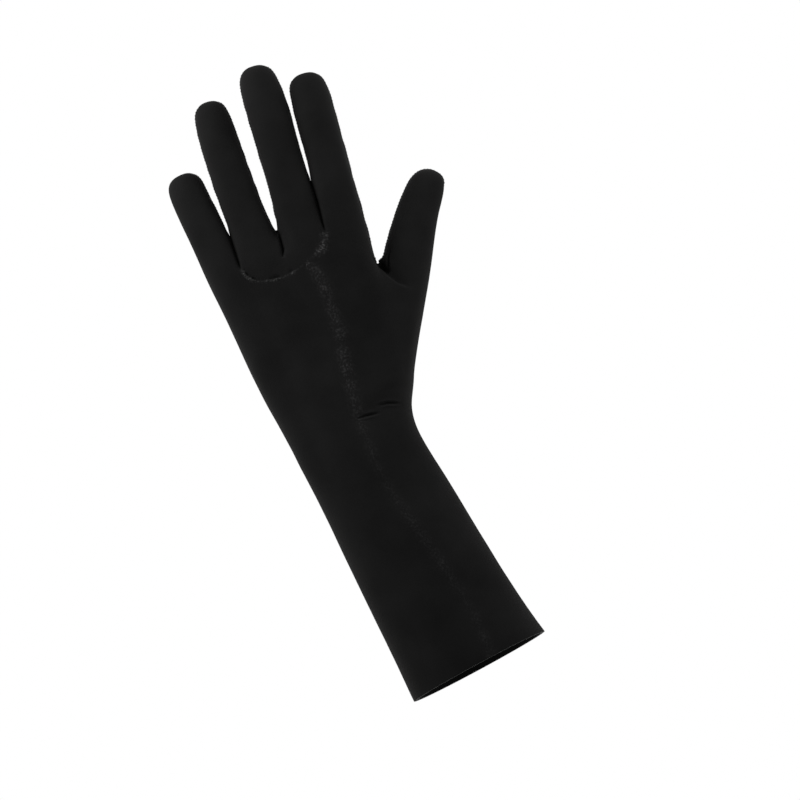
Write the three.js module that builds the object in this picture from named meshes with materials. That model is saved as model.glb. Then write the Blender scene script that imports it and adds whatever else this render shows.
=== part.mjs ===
// A left-hand neoprene glove with a long sleeve, as it stands when worn. Millimetres, +Z from the cuff to the hand,
// +X to the thumb side, the back of the hand facing -Y. The origin is the middle of the cuff's mouth.
//
// A coarse cage of four-sided faces is laid out from the tables below and rounded once by Catmull-Clark. It is then
// cut along the real seams into four panels, and each panel gets the thickness of the neoprene.
import * as THREE from "three";

const WALL = 2.5; // foam with its two jersey faces
const SEAM_GAP = 0.3; // between two panels that are butted edge to edge
const FINGER_DEPTH = 0.93; // a finger's depth, as a share of its width
const THUMB_DEPTH = 0.9;
const STEP = 0.01; // the share of a finger's length over which its direction is taken
const LEVEL = 1e-6; // a point this low is on the cuff's cut edge

const PANELS = {
  palm: "palm_panel",
  littleBack: "little_side_back_panel",
  thumbBack: "thumb_side_back_panel",
  fingerBack: "finger_back_panel",
};
const NEOPRENE = { color: 0x18191b, roughness: 0.92, metalness: 0 };

// The lines of the cage that run up the glove, from the little-finger edge over the back to the thumb edge. The palm
// has the same lines, mirrored. sleeveAngle places a line round the sleeve's oval; across (from -1 to 1) and height
// (a share of the section's depth) place it at the knuckles.
const LINES = [
  { name: "little edge", sleeveAngle: 180, across: -1.0, height: 0.0 },
  { name: "little, outer", sleeveAngle: 161, across: -0.95, height: 0.72 },
  { name: "little, middle", sleeveAngle: 144, across: -0.78, height: 1.0 },
  { name: "little and ring", sleeveAngle: 128, across: -0.571, height: 0.9 },
  { name: "ring, middle", sleeveAngle: 112, across: -0.313, height: 1.08 },
  { name: "ring and middle", sleeveAngle: 95, across: -0.054, height: 0.98 },
  { name: "back seam", sleeveAngle: 78, across: 0.215, height: 1.14 },
  { name: "middle and index", sleeveAngle: 59, across: 0.502, height: 0.96 },
  { name: "index, middle", sleeveAngle: 40, across: 0.75, height: 1.04 },
  { name: "index, outer", sleeveAngle: 20, across: 0.94, height: 0.74 },
  { name: "thumb edge", sleeveAngle: 0, across: 1.0, height: 0.0 },
];
const LAST = LINES.length - 1;
const ROUND = 2 * LAST;
const BACK_SEAM = 6;
const SEAM_REACH = 4; // how many lines either side of the back seam lean over with it
const WEB_LINES = [3, 5, 7];
const FINGER_LINES = [1, ...WEB_LINES, 9]; // the sides of the four fingers at the web row

// Sections up the sleeve and the hand. Each runs from the little-finger edge to the thumb edge; back and palm are its
// depths either side of the line between them, lift moves it to the palm side, seamX is where the back seam crosses
// it, and knuckle goes from the sleeve's oval, 0, to the row of knuckles, 1.
const SECTIONS = [
  { littleX: -37.8, littleZ: 0, thumbX: 37.7, thumbZ: 0, back: 31.5, palm: 31.5, lift: 0, seamX: 8.6, knuckle: 0 },
  { littleX: -37.4, littleZ: 9, thumbX: 36.4, thumbZ: 9, back: 31.0, palm: 31.0, lift: 0, seamX: 9.6, knuckle: 0 },
  { littleX: -36.2, littleZ: 30, thumbX: 34.1, thumbZ: 30, back: 29.3, palm: 29.3, lift: 0, seamX: 10.8, knuckle: 0 },
  { littleX: -35.6, littleZ: 54, thumbX: 32.5, thumbZ: 54, back: 27.3, palm: 27.3, lift: 0, seamX: 8.6, knuckle: 0 },
  { littleX: -34.1, littleZ: 80, thumbX: 31.2, thumbZ: 80, back: 25.3, palm: 25.3, lift: 0, seamX: 4.6, knuckle: 0 },
  { littleX: -33.0, littleZ: 103, thumbX: 29.8, thumbZ: 103, back: 23.6, palm: 23.6, lift: 0, seamX: 1.9, knuckle: 0.05 },
  { littleX: -32.5, littleZ: 121, thumbX: 29.0, thumbZ: 121, back: 22.3, palm: 22.3, lift: 0, seamX: 3.2, knuckle: 0.1 },
  { littleX: -32.5, littleZ: 133, thumbX: 31.6, thumbZ: 132.5, back: 21.4, palm: 21.8, lift: 0, seamX: 5.2, knuckle: 0.2 },
  { littleX: -32.2, littleZ: 140.5, thumbX: 35.8, thumbZ: 139, back: 20.8, palm: 21.5, lift: 0.2, seamX: 6.7, knuckle: 0.28 },
  { littleX: -32.2, littleZ: 147.5, thumbX: 40.2, thumbZ: 145.5, back: 20.3, palm: 21.3, lift: 0.4, seamX: 8.0, knuckle: 0.35 },
  { littleX: -32.2, littleZ: 156, thumbX: 44.6, thumbZ: 153, back: 19.6, palm: 21.0, lift: 0.6, seamX: 9.2, knuckle: 0.45 },
  { littleX: -32.5, littleZ: 172, thumbX: 51.0, thumbZ: 167, back: 18.4, palm: 20.0, lift: 1.0, seamX: 13.4, knuckle: 0.6 },
  { littleX: -31.9, littleZ: 189, thumbX: 53.5, thumbZ: 182, back: 17.2, palm: 18.8, lift: 1.4, seamX: 18.6, knuckle: 0.75 },
  { littleX: -30.9, littleZ: 205, thumbX: 51.4, thumbZ: 199, back: 16.2, palm: 17.4, lift: 1.6, seamX: 21.6, knuckle: 0.88 },
  { littleX: -30.3, littleZ: 217, thumbX: 51.9, thumbZ: 208.5, back: 15.4, palm: 16.4, lift: 1.6, seamX: 22.8, knuckle: 0.95 },
  { littleX: -29.8, littleZ: 229, thumbX: 53.7, thumbZ: 217.5, back: 14.4, palm: 15.4, lift: 1.4, seamX: 23.0, knuckle: 1 },
  { littleX: -29.3, littleZ: 241, thumbX: 56.8, thumbZ: 229, back: 13.2, palm: 14.0, lift: 1.0, seamX: 23.0, knuckle: 1 },
];
const SEAM_ROW = SECTIONS.length - 2;
const WEB_ROW = SECTIONS.length - 1;
const THUMB_ROOT = { bottom: 10, top: 13, backLine: 9 };

// The curved seam below the ring and middle fingers, line by line of the cage.
const CURVED_SEAM = [
  { line: 3, x: -10.4, z: 233.2 },
  { line: 4, x: 0.6, z: 227.0 },
  { line: 5, x: 11.6, z: 225.0 },
  { line: 6, x: 23.0, z: 223.6 },
  { line: 7, x: 35.4, z: 227.6 },
];

// The webs between the fingers: where each starts on the back, its lowest point between the fingers, and its palm side.
const WEBS = [
  { backX: -10.6, backZ: 240, midX: -8.6, midZ: 256, palmX: -9.2, palmZ: 249 },
  { backX: 11.6, backZ: 235.5, midX: 14.6, midZ: 244, palmX: 13.2, palmZ: 243 },
  { backX: 36.0, backZ: 235.5, midX: 40.6, midZ: 252, palmX: 38.4, palmZ: 243 },
];

// The fingers, from the knuckles to the tips. root is how far up the first ring lies, curl how far the tip bends to
// the palm, and bend how far the middle bows to the thumb side.
const FINGERS = [
  { baseX: -18.9, baseZ: 240, tipX: -16.3, tipZ: 297.0, root: 22, wide: 20.2, tipWide: 17.8, curl: 9, bend: 0 },
  { baseX: 0.7, baseZ: 236, tipX: 14.0, tipZ: 325.2, root: 22, wide: 20.4, tipWide: 18.6, curl: 11, bend: -0.8 },
  { baseX: 25.2, baseZ: 236, tipX: 44.2, tipZ: 330.8, root: 25, wide: 21.0, tipWide: 19.9, curl: 11, bend: 0.5 },
  { baseX: 46.4, baseZ: 233, tipX: 65.2, tipZ: 314.2, root: 26, wide: 20.4, tipWide: 19.4, curl: 9, bend: 0.6 },
];

// The rings up a finger: along is 0 at the root ring and 1 at the tip, wide a share of the finger's width there, and
// square goes from a round section, 0, to flat sides, 1.
const FINGER_RINGS = [
  { along: 0, wide: 1, square: 0.75 },
  { along: 0.27, wide: 1, square: 0.3 },
  { along: 0.54, wide: 1, square: 0.1 },
  { along: 0.8, wide: 1, square: 0 },
  { along: 0.96, wide: 0.8, square: 0 },
];

// The thumb's rings, from its root to its tip.
const THUMB_RINGS = [
  { x: 64.2, y: 6.5, z: 199.0, wide: 25.0 },
  { x: 71.4, y: 9.0, z: 208.6, wide: 23.6 },
  { x: 79.2, y: 11.6, z: 218.0, wide: 21.8 },
  { x: 87.4, y: 14.0, z: 226.8, wide: 20.2 },
  { x: 96.0, y: 16.0, z: 235.6, wide: 16.6 },
];
const THUMB_TIP = { x: 99.9, y: 17.0, z: 240.0 };

// Dents and mounds: rise is how far a point of the cage stands out from its section, negative for a dent.
const RELIEF = [
  { name: "wrist crease", row: 8, line: 6, rise: -0.9 },
  { name: "wrist crease", row: 8, line: 7, rise: -2.2 },
  { name: "wrist crease", row: 8, line: 8, rise: -2.4 },
  { name: "wrist crease", row: 8, line: 9, rise: -1.4 },
  { name: "hand's edge over the thumb web", row: 12, line: 9, rise: 2.0 },
  { name: "thumb mound", row: 10, line: 12, rise: 2.5 },
  { name: "thumb mound", row: 11, line: 12, rise: 3.5 },
  { name: "thumb mound", row: 11, line: 13, rise: 2.0 },
  { name: "hollow of the palm", row: 11, line: 15, rise: -2.0 },
  { name: "hollow of the palm", row: 12, line: 15, rise: -3.0 },
  { name: "hollow of the palm", row: 12, line: 14, rise: -2.5 },
  { name: "hollow of the palm", row: 13, line: 15, rise: -2.0 },
  { name: "little-finger mound", row: 11, line: 18, rise: 1.5 },
];

// A ring of n points, rounded by Catmull-Clark, shrinks by this share.
const ringShrink = (n) => (2 + Math.cos((2 * Math.PI) / n)) / 3;
const mix = (a, b, share) => a + (b - a) * share;
const radians = THREE.MathUtils.degToRad;
const point = (x, y, z) => new THREE.Vector3(x, y, z);

/** The control cage: points, and four-sided faces that each belong to a panel. */
class Cage {
  constructor(points = [], faces = []) {
    this.points = points;
    this.faces = faces;
  }

  add(position) {
    return this.points.push(position) - 1;
  }

  face(panel, corners) {
    this.faces.push({ panel, corners });
  }
}

/** The place of one line of the cage on a section of the sleeve or hand. */
function sectionPoint(section, line) {
  const onPalm = line > LAST;
  const { sleeveAngle, height } = LINES[onPalm ? ROUND - line : line];
  const swell = 1 / ringShrink(ROUND);
  const seamShare = (2 * (section.seamX - section.littleX)) / (section.thumbX - section.littleX) - 1;
  const plainShare = (index) =>
    mix(Math.cos(radians(LINES[index].sleeveAngle)), LINES[index].across, section.knuckle) * swell;
  const pull = onPalm ? 0 : Math.max(0, 1 - Math.abs(line - BACK_SEAM) / SEAM_REACH);
  const share = plainShare(onPalm ? ROUND - line : line) + pull * (seamShare - plainShare(BACK_SEAM));
  const rise = mix(Math.sin(radians(sleeveAngle)) * swell, height, section.knuckle) * (onPalm ? section.palm : -section.back);
  return point(
    mix(section.littleX, section.thumbX, (1 + share) / 2),
    section.lift + rise,
    mix(section.littleZ, section.thumbZ, (1 + share) / 2),
  );
}

/** Lays out the sleeve and the hand up to the webs. Returns the cage's indices, row by row. */
function layHand(cage) {
  const rows = SECTIONS.map((section, row) => {
    const middle = point((section.littleX + section.thumbX) / 2, section.lift, section.littleZ);
    return Array.from({ length: ROUND }, (_, line) => {
      const place = sectionPoint(section, line);
      const outward = place.clone().sub(middle).setZ(0).normalize();
      RELIEF.filter((dent) => dent.row === row && dent.line === line).forEach((dent) =>
        place.addScaledVector(outward, dent.rise),
      );
      return cage.add(place);
    });
  });
  CURVED_SEAM.forEach(({ line, x, z }) => {
    const place = cage.points[rows[SEAM_ROW][line]];
    place.set(x, place.y, z);
  });
  WEBS.forEach(({ backX, backZ, palmX, palmZ }, i) => {
    const back = cage.points[rows[WEB_ROW][WEB_LINES[i]]];
    const palm = cage.points[rows[WEB_ROW][ROUND - WEB_LINES[i]]];
    back.set(backX, back.y, backZ);
    palm.set(palmX, palm.y, palmZ);
  });

  const { bottom, top, backLine } = THUMB_ROOT;
  const inThumbRoot = (row, line) => row >= bottom && row < top && (line === backLine || line === backLine + 1);
  for (let row = 0; row < WEB_ROW; row++) {
    for (let line = 0; line < ROUND; line++) {
      if (inThumbRoot(row, line)) continue;
      const next = (line + 1) % ROUND;
      const corners = [rows[row][line], rows[row][next], rows[row + 1][next], rows[row + 1][line]];
      cage.face(handPanel(row, line), corners);
    }
  }
  return rows;
}

/** The panel that a face of the sleeve or hand belongs to. */
function handPanel(row, line) {
  if (line === ROUND - 1) return PANELS.littleBack;
  if (line > LAST) return PANELS.palm;
  if (line === LAST) return row < THUMB_ROOT.bottom ? PANELS.thumbBack : PANELS.palm;
  if (row >= SEAM_ROW && line >= WEB_LINES[0] && line < WEB_LINES[2]) return PANELS.fingerBack;
  return line < BACK_SEAM ? PANELS.littleBack : PANELS.thumbBack;
}

/** Joins two rings of the cage with faces, panelOf naming the panel of each side. */
function joinRings(cage, lower, upper, panelOf) {
  lower.forEach((corner, side) => {
    const next = (side + 1) % lower.length;
    cage.face(panelOf(side), [corner, lower[next], upper[next], upper[side]]);
  });
}

/** The panel of a side of a finger, counted from the back's little-finger corner: two on the back, two to the thumb. */
function fingerPanel(finger, side) {
  const isBack = side < 3 || side === 7;
  if (finger === 0) return isBack || side === 6 ? PANELS.littleBack : PANELS.palm;
  const back = finger === 3 ? PANELS.thumbBack : PANELS.fingerBack;
  return isBack ? back : PANELS.palm;
}

/** One ring of eight points round a finger, from the back's little-finger corner over the back. */
function fingerRing(cage, centre, axis, wide, square) {
  const across = point(axis.z, 0, -axis.x).normalize();
  const palmward = new THREE.Vector3().crossVectors(axis, across).normalize();
  const corner = mix(Math.SQRT1_2 / ringShrink(8), 1, square) * (wide / 2);
  const middle = (1.5 * wide) / 2 - corner / 2;
  const places = [
    [-corner, -corner],
    [0, -middle],
    [corner, -corner],
    [middle, 0],
    [corner, corner],
    [0, middle],
    [-corner, corner],
    [-middle, 0],
  ];
  return places.map(([a, p]) =>
    cage.add(centre.clone().addScaledVector(across, a).addScaledVector(palmward, p * FINGER_DEPTH)),
  );
}

/** A finger, from its ring of the web row to its tip. */
function layFinger(cage, index, base) {
  const finger = FINGERS[index];
  const lift = SECTIONS[WEB_ROW].lift;
  const start = point(finger.baseX, lift, finger.baseZ);
  const tip = point(finger.tipX, lift, finger.tipZ);
  const length = start.distanceTo(tip);
  const centreAt = (share) => {
    const bow = 4 * share * (1 - share) * finger.bend;
    return start.clone().lerp(tip, share).add(point(bow, finger.curl * share * share, 0));
  };
  const panelOf = (side) => fingerPanel(index, side);
  let ring = base;
  FINGER_RINGS.forEach(({ along, wide, square }) => {
    const share = mix(finger.root / length, 1, along);
    const axis = centreAt(share + STEP).sub(centreAt(share - STEP)).normalize();
    const width = mix(finger.wide, finger.tipWide, share) * wide;
    const upper = fingerRing(cage, centreAt(share), axis, width, square);
    joinRings(cage, ring, upper, panelOf);
    ring = upper;
  });
  const peak = cage.add(centreAt(1));
  const [back0, back1, back2, right, palm2, palm1, palm0, left] = ring;
  cage.face(panelOf(0), [left, back0, back1, peak]);
  cage.face(panelOf(1), [back1, back2, right, peak]);
  cage.face(PANELS.palm, [right, palm2, palm1, peak]);
  cage.face(PANELS.palm, [palm1, palm0, left, peak]);
}

/** The panel of a side of the thumb, counted round its root from the outer back corner. */
function thumbPanel(side) {
  return side >= 2 && side < 6 ? PANELS.palm : PANELS.thumbBack;
}

/** The thumb, from its root in the hand's edge to its tip. */
function layThumb(cage, rows) {
  const { bottom, top, backLine } = THUMB_ROOT;
  const up = rows.slice(bottom, top + 1);
  let ring = [
    ...up[0].slice(backLine, backLine + 3),
    ...up.slice(1, -1).map((row) => row[backLine + 2]),
    ...up.at(-1).slice(backLine, backLine + 3).reverse(),
    ...up.slice(1, -1).map((row) => row[backLine]).reverse(),
  ];
  const sides = ring.length;
  const half = 1 / ringShrink(sides) / 2;
  const centres = THUMB_RINGS.map(({ x, y, z }) => point(x, y, z));
  const tip = point(THUMB_TIP.x, THUMB_TIP.y, THUMB_TIP.z);
  let inward;
  centres.forEach((centre, i) => {
    const axis = (centres[i + 1] ?? tip).clone().sub(centres[i - 1] ?? centre).normalize();
    inward = point(-axis.z, 0, axis.x).normalize();
    const palmward = new THREE.Vector3().crossVectors(inward, axis).normalize();
    const upper = ring.map((_, side) => {
      const angle = radians(180 + (360 / sides) * (1 - side));
      const radius = THUMB_RINGS[i].wide * half;
      const place = centre.clone().addScaledVector(inward, Math.cos(angle) * radius);
      return cage.add(place.addScaledVector(palmward, Math.sin(angle) * radius * THUMB_DEPTH));
    });
    joinRings(cage, ring, upper, thumbPanel);
    ring = upper;
  });
  const spread = THUMB_RINGS.at(-1).wide / 6;
  const outer = cage.add(tip.clone().addScaledVector(inward, -spread));
  const inner = cage.add(tip.clone().addScaledVector(inward, spread));
  const [outerBack, outerMid, outerPalm, palm1, palm2, innerPalm, innerMid, innerBack, back2, back1] = ring;
  cage.face(PANELS.thumbBack, [outerBack, outerMid, outer, back1]);
  cage.face(PANELS.thumbBack, [back1, outer, inner, back2]);
  cage.face(PANELS.thumbBack, [back2, inner, innerMid, innerBack]);
  cage.face(PANELS.palm, [outerMid, outerPalm, palm1, outer]);
  cage.face(PANELS.palm, [outer, palm1, palm2, inner]);
  cage.face(PANELS.palm, [inner, palm2, innerPalm, innerMid]);
}

/** The whole glove's outer face as a cage. */
function layGlove() {
  const cage = new Cage();
  const rows = layHand(cage);
  const webRow = rows[WEB_ROW];
  const middles = WEBS.map(({ midX, midZ }) => cage.add(point(midX, SECTIONS[WEB_ROW].lift, midZ)));
  const edges = [webRow[0], ...middles, webRow[LAST]];
  FINGERS.forEach((_, i) => {
    const from = FINGER_LINES[i];
    const to = FINGER_LINES[i + 1];
    const middle = (from + to) / 2;
    layFinger(cage, i, [
      webRow[from],
      webRow[middle],
      webRow[to],
      edges[i + 1],
      webRow[ROUND - to],
      webRow[ROUND - middle],
      webRow[ROUND - from],
      edges[i],
    ]);
  });
  layThumb(cage, rows);
  return cage;
}

const average = (points) =>
  points.reduce((sum, p) => sum.add(p), new THREE.Vector3()).divideScalar(points.length);
const edgeKey = (a, b) => (a < b ? `${a},${b}` : `${b},${a}`);
const onCuffEdge = (place) => place.z < LEVEL;

/** One round of Catmull-Clark. An open edge of the cage stays on its own smooth curve. */
function rounded(cage) {
  const edges = new Map();
  const around = cage.points.map(() => ({ faces: [], edges: [] }));
  const facePoints = cage.faces.map(({ corners }, f) => {
    corners.forEach((a, i) => {
      const b = corners[(i + 1) % corners.length];
      const key = edgeKey(a, b);
      if (!edges.has(key)) {
        edges.set(key, { ends: [a, b], faces: [] });
        around[a].edges.push(key);
        around[b].edges.push(key);
      }
      edges.get(key).faces.push(f);
      around[a].faces.push(f);
    });
    return average(corners.map((corner) => cage.points[corner]));
  });

  const next = new Cage(
    cage.points.map((old, i) => {
      const middles = around[i].edges.map((key) => edges.get(key));
      const open = middles.filter((edge) => edge.faces.length === 1);
      if (open.length) {
        const others = open.map(({ ends }) => cage.points[ends[0] === i ? ends[1] : ends[0]]);
        return average(others).multiplyScalar(0.25).addScaledVector(old, 0.75);
      }
      const n = middles.length;
      const faceMean = average(around[i].faces.map((f) => facePoints[f]));
      const edgeMean = average(middles.map(({ ends }) => average(ends.map((end) => cage.points[end]))));
      return faceMean.addScaledVector(edgeMean, 2).addScaledVector(old, n - 3).divideScalar(n);
    }),
  );
  const faceIndex = facePoints.map((place) => next.add(place));
  const edgeIndex = new Map();
  edges.forEach(({ ends, faces }, key) => {
    const places = ends.map((end) => cage.points[end]);
    if (faces.length === 2) places.push(...faces.map((f) => facePoints[f]));
    edgeIndex.set(key, next.add(average(places)));
  });
  cage.faces.forEach(({ panel, corners }, f) => {
    corners.forEach((corner, i) => {
      const after = edgeIndex.get(edgeKey(corner, corners[(i + 1) % 4]));
      const before = edgeIndex.get(edgeKey(corners[(i + 3) % 4], corner));
      next.face(panel, [corner, after, faceIndex[f], before]);
    });
  });
  return next;
}

/** The unit normal at every point of a surface. The cuff's cut edge stays square to the sleeve. */
function pointNormals({ points, faces }) {
  const normals = points.map(() => new THREE.Vector3());
  faces.forEach(({ corners }) => {
    const [a, b, c, d] = corners.map((corner) => points[corner]);
    const normal = c.clone().sub(a).cross(d.clone().sub(b)).normalize();
    corners.forEach((corner) => normals[corner].add(normal));
  });
  normals.forEach((normal, i) => {
    if (onCuffEdge(points[i])) normal.setZ(0);
    normal.normalize();
  });
  return normals;
}

/** The open edges of a panel, each as [from, to] in the direction of its face. */
function openEdges(faces) {
  const directed = new Map();
  faces.forEach(({ corners }) =>
    corners.forEach((a, i) => directed.set(`${a},${corners[(i + 1) % 4]}`, [a, corners[(i + 1) % 4]])),
  );
  return [...directed.values()].filter(([a, b]) => !directed.has(`${b},${a}`));
}

/** How far each point on a panel's seams is drawn back into the panel, to leave half the gap. */
function seamSetbacks(points, normals, edges) {
  const inwards = new Map();
  edges.forEach(([a, b]) => {
    if (onCuffEdge(points[a]) && onCuffEdge(points[b])) return;
    const along = points[b].clone().sub(points[a]).normalize();
    const normal = normals[a].clone().add(normals[b]).normalize();
    const inward = new THREE.Vector3().crossVectors(normal, along).normalize();
    [a, b].forEach((end) => inwards.set(end, [...(inwards.get(end) ?? []), inward]));
  });
  const setbacks = new Map();
  inwards.forEach((directions, i) => {
    const sum = average(directions);
    if (onCuffEdge(points[i])) sum.setZ(0);
    setbacks.set(i, sum.multiplyScalar(SEAM_GAP / 2 / sum.lengthSq()));
  });
  return setbacks;
}

/** One panel as a closed wall of neoprene: its outer face, its inner face, and the cut edges between them. */
function panelGeometry({ points, faces }, normals, panel) {
  const own = faces.filter((face) => face.panel === panel);
  const edges = openEdges(own);
  const setbacks = seamSetbacks(points, normals, edges);
  const used = [...new Set(own.flatMap(({ corners }) => corners))];
  const order = new Map(used.map((corner, i) => [corner, i]));
  const outer = used.map((corner) => points[corner].clone().add(setbacks.get(corner) ?? point(0, 0, 0)));
  const inner = used.map((corner, i) => outer[i].clone().addScaledVector(normals[corner], -WALL));
  const positions = [...outer, ...inner];

  const outside = (corner) => order.get(corner);
  const inside = (corner) => order.get(corner) + used.length;
  const quads = [
    ...own.map(({ corners }) => corners.map(outside)),
    ...own.map(({ corners }) => corners.map(inside).reverse()),
    ...edges.map(([a, b]) => [outside(b), outside(a), inside(a), inside(b)]),
  ];
  const triangles = quads.flatMap(([a, b, c, d]) => {
    const acrossFirst = positions[a].distanceTo(positions[c]) <= positions[b].distanceTo(positions[d]);
    return acrossFirst ? [a, b, c, a, c, d] : [a, b, d, b, c, d];
  });

  const geometry = new THREE.BufferGeometry();
  geometry.setAttribute("position", new THREE.Float32BufferAttribute(positions.flatMap((p) => p.toArray()), 3));
  geometry.setIndex(triangles);
  geometry.computeVertexNormals();
  return geometry;
}

const surface = rounded(layGlove());
const normals = pointNormals(surface);

const glove = new THREE.Group();
Object.values(PANELS).forEach((panel) => {
  const mesh = new THREE.Mesh(panelGeometry(surface, normals, panel), new THREE.MeshStandardMaterial(NEOPRENE));
  mesh.name = panel;
  glove.add(mesh);
});

export default glove;
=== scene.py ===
"""A long-sleeved black neoprene glove for the left hand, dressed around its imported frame.

The glove keeps the shape of the hand that wears it. Its four panels are neoprene foam, faced on
both sides with black nylon jersey. They are butted edge to edge, glued and blind-stitched.
Lengths are in metres. +Z runs from the cuff to the fingertips, +X to the thumb side, and the back
of the hand faces -Y.
"""

from __future__ import annotations

import logging
import math
from bisect import bisect_left
from collections import defaultdict
from dataclasses import dataclass, field
from enum import Enum
from functools import partial
from typing import NamedTuple

import bmesh
import bpy
from bmesh.types import BMEdge, BMesh, BMFace, BMLayerItem, BMVert
from bpy.types import Material, Mesh, NodeSocket, NodeTree, Object
from mathutils import Matrix, Vector, noise
from mathutils.bvhtree import BVHTree
from mathutils.kdtree import KDTree

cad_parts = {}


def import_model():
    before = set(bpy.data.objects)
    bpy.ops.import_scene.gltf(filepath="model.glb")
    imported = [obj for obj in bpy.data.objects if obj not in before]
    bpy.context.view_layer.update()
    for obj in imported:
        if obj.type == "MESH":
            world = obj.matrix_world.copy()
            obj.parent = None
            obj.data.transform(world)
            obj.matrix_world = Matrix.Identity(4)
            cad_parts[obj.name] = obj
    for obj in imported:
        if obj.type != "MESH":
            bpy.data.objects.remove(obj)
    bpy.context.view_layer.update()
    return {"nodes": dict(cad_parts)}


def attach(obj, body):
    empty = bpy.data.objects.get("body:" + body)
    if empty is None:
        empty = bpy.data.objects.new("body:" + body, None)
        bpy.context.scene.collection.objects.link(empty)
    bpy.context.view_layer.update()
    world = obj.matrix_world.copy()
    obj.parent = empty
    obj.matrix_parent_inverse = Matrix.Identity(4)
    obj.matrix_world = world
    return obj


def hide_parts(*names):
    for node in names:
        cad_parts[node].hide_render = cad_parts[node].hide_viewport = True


LOG = logging.getLogger("neoprene_glove")
MM = 0.001
WALL = 2.5 * MM
WRIST_HEIGHT = 138 * MM
# Two places nearer than this are one.
SAME_PLACE = 0.001 * MM
# Points this near the ground plane are on the cuff's edge, and rays start this far off a face.
HAIR = 0.01 * MM
# The folds press in what lies nearer to the back of the hand than the floor, by this share of it.
FOLD_FLOOR = 2 * MM
FOLD_SHARE = 0.6
PATTERN_UV = "cutting_pattern"
# Raised nap as positive values; shade painted into the folds and the seam dents as negative ones.
NAP_AND_PAINTED_SHADE = "nap_and_painted_shade"
INNER_FACE = "inner_face"


class Panel(Enum):
    """The four panels of neoprene, by the name of their node."""

    PALM = "palm_panel"
    LITTLE_SIDE_BACK = "little_side_back_panel"
    THUMB_SIDE_BACK = "thumb_side_back_panel"
    FINGER_BACK = "finger_back_panel"


class SeamKind(Enum):
    """The three kinds of seam between the panels."""

    BACK = "back_seam"
    CURVED = "curved_seam"
    SIDE = "side_seam"


class Slot(Enum):
    """Names for the jersey's and the thread's material slots; nothing here uses them."""

    JERSEY = "neoprene_jersey"
    THREAD = "seam_thread"


def clamp(value: float, low: float = 0.0, high: float = 1.0) -> float:
    """Keeps a value between two bounds."""
    return min(max(value, low), high)


def metres(*places: tuple[float, ...]) -> tuple[tuple[float, ...], ...]:
    """Turns places that are given in millimetres to metres."""
    return tuple(tuple(value * MM for value in place) for place in places)


class Wear(NamedTuple):
    """How worn a seam is at a place across the glove: shares of its ridge, fuzz and reach."""

    across: float
    ridge: float
    fuzz: float
    spread: float


@dataclass(frozen=True)
class SeamProfile:
    """How one kind of seam stands out of the jersey, how its nap is raised, and its stitches.

    The dent is a groove on the fingers' side of a seam whose panel edge turns up, with a shadow
    line painted into the jersey's colour. The pucker is how unevenly the stitches draw the seam
    up. The wear says how much of the ridge and of the fuzz is there, at places across the glove.
    """

    rise: float
    reach: float
    fuzz: float
    fuzz_reach: float
    pitch: float
    thread: float
    span: float
    slant: float
    dent: float = 0.0
    pucker: float = 0.0
    patchiness: float = 0.7
    sleeve_share: float = 1.0
    settle_rounds: int = 0
    wear: tuple[Wear, ...] = ()

    def wear_at(self, across: float) -> Wear:
        """Finds the wear at a place across the glove.

        Args:
            across: The place.

        Returns:
            The wear between the two given places round it.
        """
        after = next((spot for spot in self.wear if spot.across > across), None)
        before = next((spot for spot in reversed(self.wear) if spot.across <= across), None)
        if not after or not before:
            return after or before or Wear(across, 1.0, 1.0, 1.0)
        share = (across - before.across) / (after.across - before.across)
        return Wear(across, *(a + (b - a) * share for a, b in zip(before[1:], after[1:])))


CURVED_SEAM_WEAR: tuple[Wear, ...] = tuple(
    Wear(across * MM, ridge, fuzz, spread)
    for across, ridge, fuzz, spread in (
        (-9.0, 1.0, 0.6, 1.0),
        (3.0, 0.7, 0.4, 1.0),
        (5.5, 0.1, 0.1, 1.0),
        (9.5, 0.05, 0.1, 1.0),
        (11.5, 0.3, 0.6, 1.2),
        (13.5, 0.05, 0.25, 1.2),
        (18.5, 0.0, 0.0, 1.0),
        (26.0, 0.0, 0.1, 1.4),
        (29.5, 0.2, 1.1, 2.4),
        (35.0, 0.2, 1.0, 2.2),
        (37.5, 0.6, 0.2, 1.0),
    )
)
SEAMS: dict[SeamKind, SeamProfile] = {
    SeamKind.BACK: SeamProfile(
        rise=0.3 * MM, reach=3.4 * MM, fuzz=0.1, fuzz_reach=2.9 * MM, pitch=2.1 * MM,
        thread=0.12 * MM, span=1.8 * MM, slant=24.0, patchiness=1.1, sleeve_share=0.42,
        settle_rounds=8,
    ),
    SeamKind.CURVED: SeamProfile(
        rise=0.3 * MM, reach=1.3 * MM, fuzz=0.6, fuzz_reach=0.7 * MM, pitch=1.6 * MM,
        thread=0.2 * MM, span=1.4 * MM, slant=12.0, dent=0.5 * MM, pucker=3.5, patchiness=1.4,
        settle_rounds=10, wear=CURVED_SEAM_WEAR,
    ),
    SeamKind.SIDE: SeamProfile(
        rise=0.45 * MM, reach=1.5 * MM, fuzz=0.35, fuzz_reach=0.9 * MM, pitch=1.8 * MM,
        thread=0.3 * MM, span=2.0 * MM, slant=8.0, settle_rounds=16,
    ),
}
CURVED_SEAM_PLACES = metres(
    (-10.3, 238.4), (-11.0, 235.6), (-11.0, 232.2), (-9.3, 228.7), (-6.4, 226.2), (-1.2, 223.8),
    (5.0, 222.2), (11.8, 221.7), (16.5, 222.3), (20.5, 223.6), (24.5, 224.2), (28.5, 224.8),
    (31.8, 226.4), (34.2, 229.0), (36.0, 232.8), (36.8, 238.5),
)


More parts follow.
